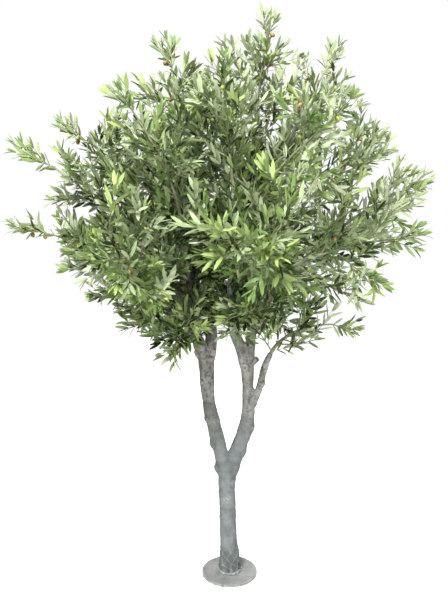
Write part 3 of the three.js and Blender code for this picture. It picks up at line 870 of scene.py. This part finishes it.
class Foliage:
    """Gathers the leaves, twigs and olives of a few masses, before they are made into meshes."""

    def __init__(self):
        self.leaves = []
        self.lines = []
        self.olives = []
        self.outer_sprays = 0

    def add_leaf_pairs(self, line, start, length, rng, tint, vigour=1.0, spacing=1.0):
        """Crossed pairs of leaves from a share of the way along a line, and one leaf on its tip."""
        number = max(int(round((1 - start) * length / (PAIR_GAP * vigour * spacing))), 1)
        turn = rng.uniform(0, math.pi)
        light = UP * 0.6 + unit(line.at(1) - CROWN_CENTRE) * 0.35  # leaves face up and outwards
        for i in range(number + 1):
            share = blend(start, 1, i / number)
            axis = line.direction(share)
            side = unit(np.cross(axis, light + 1e-6))
            around = turn + i * math.pi / 2
            size = 0.78 + 0.34 * math.sin(math.pi * (0.15 + 0.7 * i / number))  # most in the middle
            size *= vigour * rng.uniform(*LEAF_SIZES["paired"])
            for half in (0, math.pi):
                angle = around + half + rng.normal(0, LEAF_HABIT["swings"])
                outwards = turned(side, axis, angle)
                lean = blend(*LEAF_HABIT["opens"], share) + rng.normal(0, LEAF_HABIT["sways"])
                direction = axis * math.cos(lean) + outwards * math.sin(lean)
                self.add_leaf(line.at(share), direction, axis + light, size, rng, tint)
        size = vigour * rng.uniform(*LEAF_SIZES["at_tip"])
        self.add_leaf(line.at(1), line.direction(1), light, size, rng, tint)

    def add_leaf(self, root, direction, towards, size, rng, tint):
        """A leaf whose face turns towards a direction, with a roll, bend and width of its own."""
        face = unit(towards - direction * (towards @ direction))
        face = turned(face, direction, rng.normal(0, LEAF_HABIT["rolls"]))
        width = LEAF["width"] * blend(1, size, 0.5) * rng.uniform(*LEAF_SIZES["width"])
        sizes = [LEAF["length"] * size, width, rng.normal(*LEAF_HABIT["bends"]), tint]
        self.leaves.append(np.concatenate([root, direction, face, sizes]))

    def add_spray(self, spray, rng, spacing=1.0):
        """A fine twig that lifts a little towards its tip, with leaves all along it. A shorter one
        has smaller leaves."""
        vigour = blend(1, spray["length"] / SPRAY["length"], 0.25)
        stalk = max(spray["length"] - 0.83 * LEAF["length"] * vigour, 0.03)  # then one leaf
        line = bent_twig(spray["root"], spray["direction"], stalk, FINE_SPRAY["lift"])
        tint = tint_of(line.at(1), rng)
        self.lines.append(line.sampled(*SPRAY_TUBE))
        self.add_leaf_pairs(line, FINE_SPRAY["leafy_from"], stalk, rng, tint, vigour, spacing)
        if rng.random() < SPRAY_OLIVE["share"]:
            self.add_olive(*hanging_from(line, SPRAY_OLIVE["along"]), rng)
        if np.linalg.norm(line.at(1) - CROWN_CENTRE) > OUTER_OLIVE["from_centre"]:
            self.outer_sprays += 1
            number, rest = divmod(self.outer_sprays, OUTER_OLIVE["every_spray"])
            if rest == 0:
                blushed = number % 3 // 2  # every third one
                self.olives.append((*hanging_from(line, OUTER_OLIVE["along"]), blushed))

    def add_olive(self, top, down, rng):
        way = unit(down + rng.normal(0, SPRAY_OLIVE["sways"], 3))
        self.olives.append((top, way, rng.choice(3, p=SPRAY_OLIVE["kinds"])))


def gaps_widen(mass):
    return 1 + OPEN_TO_RIGHT * max(unit(mass["spine"].at(1) - CROWN_CENTRE)[0], 0)


def hides_boughs(points):
    """Whether any point hangs in front of the boughs' tops, which show below the crown."""
    near = np.abs(points[:, 0] - CROWN_CENTRE[0]) < BOUGH_GAP["half_width"]
    return bool((near & (points[:, 1] < 0) & (points[:, 2] < BOUGH_GAP["top"])).any())


def grow_foliage(mass, grown, space, foliage):
    """A mass's stem, twigs and sprays: those of the rule, and finer ones between them."""
    rng = np.random.default_rng(mass["seed"])
    wider = gaps_widen(mass)
    foliage.lines.append(mass["stem"].sampled(*STEM_TUBE))

    def fits(spray):
        points, rooms = spray_samples(spray)
        return space.has_room(points, rooms, mass, mass["sides"]) and not hides_boughs(points)

    for i, (twig, sprays) in enumerate(grown):
        foliage.lines.append(twig.sampled(*TWIG_TUBE))
        length = np.linalg.norm(twig.at(1) - twig.at(0))
        habit, spacing = (END_TWIG, END_SPACING) if i == len(grown) - 1 else (SIDE_TWIG, 1.0)
        foliage.add_leaf_pairs(twig, habit["leafy_from"], length, rng, tint_of(twig.at(1), rng))
        for spray in sprays:
            foliage.add_spray(spray, rng, spacing)
        add_side_sprays(twig, 0.1, 0.8, TWIG_GAP * wider, fits, rng, foliage)
    olive = end_olive(mass, grown[-1][0], space)
    if olive:
        foliage.add_olive(*olive, rng)
    add_side_sprays(mass["stem"], 0.05, 0.95, SPRAY_GAP * wider, fits, rng, foliage)


def add_side_sprays(line, start, end, gap, fits, rng, foliage):
    """Sprays all round a stem, branch or limb, evenly along it, where there is room for them."""
    length = np.linalg.norm(line.at(end) - line.at(start))
    number = max(int(length / gap), 1)
    for i in range(number):
        share = blend(start, end, (i + rng.random()) / number)
        place = place_on(line, FINE_SPRAY["line_steps"], share)
        around = i * GOLDEN_ANGLE + rng.uniform(-FINE_SPRAY["swings"], FINE_SPRAY["swings"])

        def make(scale):
            direction = leaning(place, rng.uniform(*FINE_SPRAY["opens"]), around)
            length = SPRAY["length"] * rng.uniform(*FINE_SPRAY["size"]) * scale
            spray = {"root": place[0], "direction": direction, "length": length}
            return {**spray, "across": level_across(direction)}

        spray = first_that_fits(make, fits)
        if spray:
            foliage.add_spray(spray, rng)


def grow_inside(limb_lines, masses, space, foliage):
    """Sprays on the bare branches, and on the limbs themselves from the crown's foot up."""
    rng = np.random.default_rng(INNER["seed"])
    for mass in masses:
        if mass["branch"]:
            gap = INNER["gap"] * gaps_widen(mass)
            add_side_sprays(mass["branch"], 0.25, 1, gap, space.clear_spray, rng, foliage)
    lowest = CROWN_FOOT + INNER["limbs_above_foot"]
    for name in ("left_outer_limb", "left_inner_limb", "right_inner_limb", "right_outer_limb"):
        line = limb_lines[name]
        start = next(share for share in np.linspace(0, 1, 101) if line.at(share)[2] > lowest)
        add_side_sprays(line, start, 1, INNER["gap"], space.clear_spray, rng, foliage)


# A leaf's outline as (share of its length, share of its half-width), root and tip at the ends.
LEAF_STATIONS = [(0.16, 0.60), (0.46, 1.0), (0.80, 0.68)]


def leaf_template():
    """A leaf's corners as (along, across, lift, under), and its triangles, upper side first."""
    corners = [(0, 0, 0, 0), (1, 0, 0, 0)]
    for along, across in LEAF_STATIONS:
        corners += [(along, -across, 1, 0), (along, 0, 0, 0), (along, across, 1, 0)]
    corners += [(along, 0, 0, 1) for along, _ in LEAF_STATIONS]
    last, under = 3 * len(LEAF_STATIONS) - 1, 3 * len(LEAF_STATIONS) + 2
    last_under = under + len(LEAF_STATIONS) - 1
    upper = [(0, 3, 2), (0, 4, 3), (1, last, last + 1), (1, last + 1, last + 2)]
    lower = [(0, 2, under), (0, under, 4), (1, last_under, last), (1, last + 2, last_under)]
    for i in range(len(LEAF_STATIONS) - 1):
        left, mid, right = 2 + 3 * i, 3 + 3 * i, 4 + 3 * i
        upper += [(left, mid, mid + 3), (left, mid + 3, left + 3)]
        upper += [(mid, right, right + 3), (mid, right + 3, mid + 3)]
        low = under + i
        lower += [(left, left + 3, low + 1), (left, low + 1, low)]
        lower += [(right, low, low + 1), (right, low + 1, right + 3)]
    return np.array(corners, float), np.array(upper + lower)


def leaves_mesh(name, leaves, materials):
    """All of a piece's leaves as one mesh. Its materials are the tints, then the undersides."""
    template, triangles = leaf_template()
    rows = np.array(leaves)
    root, direction, face = rows[:, 0:3], unit(rows[:, 3:6]), unit(rows[:, 6:9])
    length, width, bend, tint = rows[:, 9], rows[:, 10], rows[:, 11], rows[:, 12].astype(int)
    across = np.cross(direction, face)
    along_share, across_share, lift, under = template.T
    along = length[:, None] * along_share
    sideways = 0.5 * width[:, None] * across_share
    raised = LEAF["edges_rise"] * width[:, None] * lift
    raised = raised + (bend * length)[:, None] * along_share**2
    raised = raised - LEAF["thickness"] * under
    points = root[:, None] + direction[:, None] * along[..., None]
    points = points + across[:, None] * sideways[..., None] + face[:, None] * raised[..., None]
    faces = triangles[None] + (np.arange(len(rows)) * len(template))[:, None, None]
    is_upper = np.arange(len(triangles)) < len(triangles) // 2
    underside = len(TINTS) + (tint >= PALE_TINTS)
    fabrics = np.where(is_upper[None], tint[:, None], underside[:, None]).ravel()
    points, faces = points.reshape(-1, 3).tolist(), faces.reshape(-1, 3).tolist()
    piece = mesh_from(name, points, faces, materials, fabrics)
    mark_outline_sharp(piece.data)
    return piece


def mark_outline_sharp(mesh):
    """A leaf's upper and under sides shade apart, along the edges where their materials meet."""
    loops = np.empty(len(mesh.loops), np.int32)
    mesh.loops.foreach_get("edge_index", loops)
    fabric = np.empty(len(mesh.polygons), np.int32)
    mesh.polygons.foreach_get("material_index", fabric)
    under = (fabric >= len(TINTS)).astype(np.int32)
    per_edge = np.zeros(len(mesh.edges), np.int32)
    np.add.at(per_edge, loops, np.repeat(under, 3))
    mesh.edges.foreach_set("use_edge_sharp", per_edge == 1)


def olives_mesh(name, olives, materials):
    """Egg-shaped olives, each hanging a little below its place on the twig."""
    rings, sides = OLIVE["rings"], OLIVE["sides"]
    heights = np.cos(np.linspace(0, math.pi, rings + 1))
    around = np.arange(sides) * 2 * math.pi / sides
    points, faces, fabric = [], [], []
    for top, way, kind in olives:
        side = level_across(way)
        front = np.cross(way, side)
        middle = top + way * (0.5 * OLIVE["length"] + OLIVE["drop"])
        base = len(points)
        for h in heights:
            narrowed = 1 - OLIVE["narrows"] * h
            radius = 0.5 * OLIVE["width"] * math.sqrt(max(1 - h * h, 0)) * narrowed
            centre = middle - way * 0.5 * OLIVE["length"] * h
            points += [centre + radius * (side * math.cos(a) + front * math.sin(a)) for a in around]
        for ring in range(rings):
            for k in range(sides):
                a, b = base + ring * sides + k, base + ring * sides + (k + 1) % sides
                faces.append((a, a + sides, b + sides, b))
                fabric.append(kind)
    piece = mesh_from(name, points, faces, materials, fabric)
    merge_doubles(piece, 1e-5)
    return piece


def merge_doubles(piece, distance):
    shell = bmesh.new()
    shell.from_mesh(piece.data)
    bmesh.ops.remove_doubles(shell, verts=shell.verts, dist=distance)
    bmesh.ops.dissolve_degenerate(shell, edges=shell.edges, dist=distance)
    bmesh.ops.recalc_face_normals(shell, faces=shell.faces)
    shell.to_mesh(piece.data)
    shell.free()


# ---------------------------------------------------------------- bark

BARK_VOXEL = 0.0030
FLAT_FOOT = 0.01  # over this height the relief fades out towards the flat cut on the plate

# The height of each kind of relief, then the creases low on the trunk and the folds at the plate.
RELIEF = {"lumps": 0.0026, "rings": 0.0016, "ridges": 0.0012, "wrinkles": 0.0009, "pits": 0.006}
CREASES = {"top": 0.20, "below": 0.165, "fade_in": 0.06, "height": 0.0026, "width": 0.22}
FOLDS = {"number": 11, "height": 0.005, "above_plate": 0.018}

# Knots and swellings on the trunk and boughs, as (x, y, z, radius, height, pit).
# A pit is how far the knot's middle sinks below its rim, as a share of its height.
KNOTS = [
    (-0.054, -0.006, 0.490, 0.016, 0.012, 0.4),
    (0.024, -0.025, 0.425, 0.018, 0.005, 0.6),
    (-0.076, -0.008, 0.594, 0.016, 0.012, 0.5),
    (0.062, -0.018, 0.560, 0.018, 0.011, 0.5),
    (-0.102, -0.006, 0.710, 0.014, 0.009, 0.7),
    (0.100, -0.014, 0.672, 0.020, 0.010, 0.3),
    (-0.066, -0.018, 0.815, 0.016, 0.009, 0.2),
    (-0.123, -0.002, 0.868, 0.012, 0.008, 0.5),
    (-0.088, -0.012, 0.900, 0.013, 0.006, 1.2),
    (-0.140, 0.004, 0.992, 0.018, 0.012, 0.3),
    (-0.062, 0.006, 0.990, 0.018, 0.010, 0.3),
    (-0.092, -0.016, 1.000, 0.012, 0.004, 3.0),
    (0.101, -0.046, 0.800, 0.016, 0.013, 0.7),
    (0.124, -0.038, 0.772, 0.014, 0.007, 0.2),
    (0.143, -0.046, 0.873, 0.012, 0.007, 0.2),
    (0.150, -0.060, 0.930, 0.010, 0.005, 0.4),
    (0.060, -0.040, 0.945, 0.016, 0.008, 0.6),
    (-0.010, -0.036, 0.380, 0.008, 0.002, 1.6),
]

# Places on the bark that are paler than the rest, or darker where the last value is below 0,
# as (x, y, z, radius, how much).
SCUFFS = [
    (-0.018, -0.032, 0.350, 0.020, 0.7),
    (-0.004, -0.032, 0.366, 0.012, 0.6),
    (-0.022, -0.032, 0.300, 0.026, 0.35),
    (0.078, -0.046, 0.700, 0.012, 0.7),
    (-0.062, -0.024, 0.815, 0.014, 0.6),
    (0.101, -0.050, 0.800, 0.014, 0.5),
    (0.121, -0.032, 0.984, 0.011, -1.6),
]


def lumps_at(x, y, z):
    """Noise from about -1 to 1. The finer the lumps, the more the place is scaled up."""
    return noise.noise(Vector((x, y, z)))


# The next three give, for every point of the bark, how far it stands proud in metres and how much
# paler (above 0) or darker (below 0) it is. Most of that tint follows the relief: painted highlight
# where the bark stands proud, and painted shade where it sinks.


def bark_relief(points):
    """Lumps, rings, ridges, wrinkles and pits, which get rougher above the fork, with painted shade
    in the hollows and a painted highlight on the raised parts.
    """
    height, tint = np.zeros((2, len(points)))
    for i, (x, y, z) in enumerate(points):
        rough = min(max((z - 0.55) / 0.35, 0.15), 1.0)
        lumps = lumps_at(x * 26, y * 26, z * 15)
        rings = lumps_at(x * 9, y * 9, z * 48)
        ridges = noise.turbulence(Vector((x * 60, y * 60, z * 20)), 3, False) - 0.5
        wrinkles = lumps_at(x * 55 + z * 30, y * 55, z * 150) * (0.4 + 0.6 * rough)
        pits = max(noise.noise(Vector((x, y, z)) * 130) - 0.28, 0) * rough
        height[i] = RELIEF["lumps"] * lumps + RELIEF["rings"] * rings
        height[i] += RELIEF["ridges"] * ridges
        height[i] += RELIEF["wrinkles"] * wrinkles
        height[i] -= RELIEF["pits"] * pits
        # Painted shade and highlight: the tint follows the height, darker in pits, paler on lumps,
        # rings, wrinkles and ridges.
        tint[i] = 0.35 * lumps + 0.25 * rings + 0.25 * wrinkles - 3.6 * pits
        tint[i] += 0.5 * ridges * rough
    return height, tint


def crease_relief(points):
    """The crumpled skin low on the trunk: crossed creases, and folds that spread on the plate, with
    a painted highlight where they stand proud and painted shade between them.
    """
    height, tint = np.zeros((2, len(points)))
    for i in np.flatnonzero(points[:, 2] < CREASES["top"]):
        x, y, z = points[i]
        around = math.atan2(y - LIMBS["trunk"][0][1], x)
        low = min(max((CREASES["below"] - z) / CREASES["fade_in"], 0), 1)
        warp = 1.6 * lumps_at(x * 22, y * 22, z * 22)
        crossing = (z * 66 + around * 3 + warp, z * 58 - around * 4 + 1.0 - warp)
        crease = sum(math.exp(-((math.sin(turn) / CREASES["width"]) ** 2)) for turn in crossing)
        folds = 0.5 + 0.5 * math.sin(around * FOLDS["number"] + 2 * warp)
        at_foot = math.exp(-(((z - FOOT) / FOLDS["above_plate"]) ** 2))
        height[i] = low * CREASES["height"] * (crease - 0.5) + FOLDS["height"] * at_foot * folds
        # Painted highlight along the raised creases and folds, painted shade between them.
        tint[i] = low * (0.75 * crease - 0.35) + at_foot * (folds - 0.5)
    return height, tint


def knot_relief(points):
    """Knots with a dent in the middle: a painted highlight on the dome, painted shade in the dent
    and a dark ring of painted shadow round the rim. Then the scuffs, which have no height.
    """
    height, tint = np.zeros((2, len(points)))
    for *place, radius, tall, pit in KNOTS:
        away = np.linalg.norm(points - np.array(place), axis=1) / radius
        dome = np.exp(-(away**2))
        dent = np.exp(-((away * 2.6) ** 2)) * pit
        # A ring just outside each knot, where its painted shadow goes.
        rim = np.exp(-(((away - 1.3) / 0.25) ** 2))
        height += tall * (dome - dent)
        # Painted highlight on the dome, painted shade in the dent, painted shadow on the ring.
        tint += 0.5 * dome - 1.1 * dent - 0.45 * rim
    for *place, radius, paleness in SCUFFS:
        away = np.linalg.norm(points - np.array(place), axis=1) / radius
        for i in np.flatnonzero(away < 1.5):
            uneven = 0.6 + 1.2 * noise.noise(Vector(points[i] * 140))
            tint[i] += paleness * max(uneven, 0) * math.exp(-(away[i] ** 4))
    return height, tint


def make_bark(limb_lines, material):
    """One skin over trunk, boughs and limbs, with the relief of the bark."""
    lines = []
    for name, rows in LIMBS.items():
        steps = 4 * (len(rows) - 1)
        lines.append(limb_lines[name].sampled(steps, [row[3] for row in rows]))
    lines[0][0, 2] = FOOT  # the trunk starts at the plate
    piece = tubes_along("bark_tubes", lines, material)
    remesh = piece.modifiers.new("one_skin", "REMESH")
    remesh.mode = "VOXEL"
    remesh.voxel_size = BARK_VOXEL
    smooth = piece.modifiers.new("soften", "SMOOTH")
    smooth.iterations = 6
    smooth.factor = 0.5
    piece = baked(piece, "trunk_and_limbs")
    mesh = piece.data
    points = read_vectors(mesh.vertices, "co").astype(float)
    normals = read_vectors(mesh.vertex_normals, "vector")
    kinds_of_relief = (bark_relief, crease_relief, knot_relief)
    height, tint = sum(np.array(relief(points)) for relief in kinds_of_relief)
    height *= np.clip((points[:, 2] - FOOT) / FLAT_FOOT, 0, 1)
    moved = points + normals * height[:, None]
    moved[:, 2] = np.maximum(moved[:, 2], FOOT)
    mesh.vertices.foreach_set("co", moved.astype(np.float32).ravel())
    # The tint goes to the bark material: painted shade and highlight that follow the relief, and
    # the scuffs.
    mark_points(mesh, "relief", tint)
    shade_smooth(mesh)
    mesh.materials.clear()
    mesh.materials.append(material)
    mesh.update()
    return piece


# ---------------------------------------------------------------- plate and foot


def lathe(name, profile, segments, material, centre=(0, 0)):
    """A closed turned shape. The profile's (radius, height) points run from axis to axis."""
    (x, y), turns = centre, np.arange(segments) * 2 * math.pi / segments
    points = [(x, y, profile[0][1])]
    for radius, height in profile[1:-1]:
        points += [(x + radius * math.cos(t), y + radius * math.sin(t), height) for t in turns]
    points.append((x, y, profile[-1][1]))
    faces = []
    for k in range(segments):
        after = (k + 1) % segments
        faces.append((0, 1 + after, 1 + k))
        for ring in range(len(profile) - 3):
            a, b = 1 + ring * segments + k, 1 + ring * segments + after
            faces.append((a, b, b + segments, a + segments))
        last = 1 + (len(profile) - 3) * segments
        faces.append((last + k, last + after, len(points) - 1))
    return mesh_from(name, points, faces, [material])


def make_plate(material):
    radius, thick, edge = PLATE["radius"], PLATE["thickness"], PLATE["edge"]
    quarter = np.linspace(0, math.pi / 2, 5)
    turn = [(edge * (1 - math.cos(a)), edge * (1 - math.sin(a))) for a in quarter]
    lower = [(radius - out, up) for up, out in reversed(turn)]
    upper = [(radius - out, thick - up) for up, out in turn]
    below = [(r, 0) for r in (0, 0.5 * radius, radius - 2 * edge)]
    above = [(r, thick) for r in (radius - 2 * edge, 0.8 * radius, 0.5 * radius, 0)]
    return lathe("floor_plate", below + lower + upper + above, 128, material)


def make_foot_bead(material):
    """The lumpy bead of filler that beds the trunk on its plate."""
    x, y = LIMBS["trunk"][0][:2]
    outer, inner = FOOT_BEAD["radius"], FOOT_BEAD["inner"]
    bead, tall = FOOT_BEAD["bead"], FOOT_BEAD["height"]
    quarter = np.linspace(0, math.pi / 2, 7)
    under = [(0, FOOT), (outer - 2 * bead, FOOT)]
    skirt = [(outer - bead + bead * math.cos(a), FOOT + tall * math.sin(a)) for a in quarter]
    top = [(inner, FOOT + 0.9 * tall), (0, FOOT + 0.8 * tall)]
    piece = lathe("foot_filler", under + skirt + top, 96, material, (x, y))
    for vertex in piece.data.vertices:
        away = Vector((vertex.co.x - x, vertex.co.y - y, 0))
        if vertex.co.z > FOOT + 1e-4 and away.length > 1e-4:
            lump = noise.noise(vertex.co * 70) + 0.5 * noise.noise(vertex.co * 170)
            vertex.co += away.normalized() * FOOT_BEAD["bulges"] * lump
            raised = vertex.co.z + FOOT_BEAD["heaves"] * noise.noise(vertex.co * 60)
            vertex.co.z = max(raised, FOOT + 0.0002)
    return piece


# ---------------------------------------------------------------- the tree


def ride_as(piece, nodes=()):
    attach(piece, "root")
    if nodes:
        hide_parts(*nodes)


def make_tree():
    limb_lines = {name: smooth_line([row[:3] for row in rows]) for name, rows in LIMBS.items()}
    masses = [plan_mass(index, row, limb_lines) for index, row in enumerate(MASSES)]
    space = Space(masses, limb_lines)

    bark = make_bark_material()
    ride_as(make_bark(limb_lines, bark), list(LIMBS))
    bare = [mass for mass in masses if mass["branch"]]
    lines = [mass["branch"].sampled(LINE_STEPS, mass["branch_radii"]) for mass in bare]
    branches = tubes_along("branches", lines, bark)
    ride_as(branches, [f"{mass['name']}_branch" for mass in bare])

    fabrics = leaf_materials()
    layers = {
        "leaves_top": masses[:6],
        "leaves_high": masses[6:12],
        "leaves_middle": masses[12:18],
        "leaves_low": masses[18:],
    }
    lines, olives = [], []
    for name, members in layers.items():
        foliage = Foliage()
        for mass in members:
            grow_foliage(mass, grow_mass(mass, space), space, foliage)
        piece = leaves_mesh(name, foliage.leaves, fabrics)
        ride_as(piece, [f"{mass['name']}_foliage" for mass in members])
        lines += foliage.lines
        olives += foliage.olives
    inner = Foliage()
    grow_inside(limb_lines, masses, space, inner)
    ride_as(leaves_mesh("leaves_inner", inner.leaves, fabrics))
    twigs = tubes_along("twigs", lines + inner.lines, mottled_material("twig"))
    ride_as(twigs, [f"{mass['name']}_foliage" for mass in masses])
    skins = [mottled_material(f"olive_{kind}") for kind in ("green", "blushed", "dark")]
    ride_as(olives_mesh("olives", olives + inner.olives, skins))

    ride_as(make_plate(make_plate_material()), ["plate"])
    ride_as(make_foot_bead(mottled_material("foot_filler")), ["foot_collar"])


# ---------------------------------------------------------------- floor, light and camera

FLOOR = {"half": 6.0, "under_plate": 0.0005}
WHITE = (1, 1, 1, 1)

# What the floor and the world send out: as light on the tree, and as the camera sees them.
GLOW = {"floor": [0.0, 0.85], "world": [0.175, 1.0]}

# Round area lights, as (name, place, what it points at, width, power in watts).
LIGHTS = [
    ("key", (-1.3, -2.8, 4.6), (0, 0, 1.4), 1.4, 425),
    ("fill", (1.8, -3.6, 1.9), (0, 0, 1.4), 2.0, 92),
    ("back", (1.0, 3.4, 0.9), (0, 0, 1.6), 2.0, 90),
]
CAMERA = {"place": (-0.0243, -2.674, 1.577), "pitch": 82.5, "lens": 38.4, "sensor": 36}


def glow_strength(tree, on_tree, to_camera):
    seen = add(tree, "ShaderNodeLightPath").outputs["Is Camera Ray"]
    return spread(tree, seen, 0.0, 1.0, on_tree, to_camera)


def make_floor():
    far, z = FLOOR["half"], -FLOOR["under_plate"]
    paint = {"Base_Color": (0.9, 0.9, 0.9, 1), "Roughness": 0.9}
    material, tree, shader = new_material("floor_white", **paint)
    shader.inputs["Emission Color"].default_value = WHITE
    tree.links.new(glow_strength(tree, *GLOW["floor"]), shader.inputs["Emission Strength"])
    corners = [(-far, -far, z), (far, -far, z), (far, far, z), (-far, far, z)]
    mesh_from("floor", corners, [(0, 1, 2, 3)], [material])


def make_light():
    """A pale studio: even light from all round, a strong soft one from above at the front left, a
    weaker one at the front right, and a low one behind the tree."""
    world = bpy.data.worlds.new("studio")
    world.use_nodes = True
    bpy.context.scene.world = world
    backdrop = world.node_tree.nodes["Background"].inputs
    backdrop["Color"].default_value = WHITE
    world.node_tree.links.new(glow_strength(world.node_tree, *GLOW["world"]), backdrop["Strength"])
    for name, place, target, width, power in LIGHTS:
        light = bpy.data.lights.new(name, "AREA")
        light.shape, light.size, light.energy = "DISK", width, power
        lamp = link(bpy.data.objects.new(name, light))
        lamp.location = place
        towards = Vector(target) - Vector(place)
        lamp.rotation_euler = towards.to_track_quat("-Z", "Y").to_euler()
    bpy.context.scene.view_settings.view_transform = "Standard"


def make_camera():
    camera = bpy.data.cameras.new("camera")
    camera.sensor_width, camera.lens = CAMERA["sensor"], CAMERA["lens"]
    viewer = link(bpy.data.objects.new("camera", camera))
    viewer.location = CAMERA["place"]
    viewer.rotation_euler = (math.radians(CAMERA["pitch"]), 0, 0)
    bpy.context.scene.camera = viewer


make_camera()
make_light()
make_floor()
make_tree()
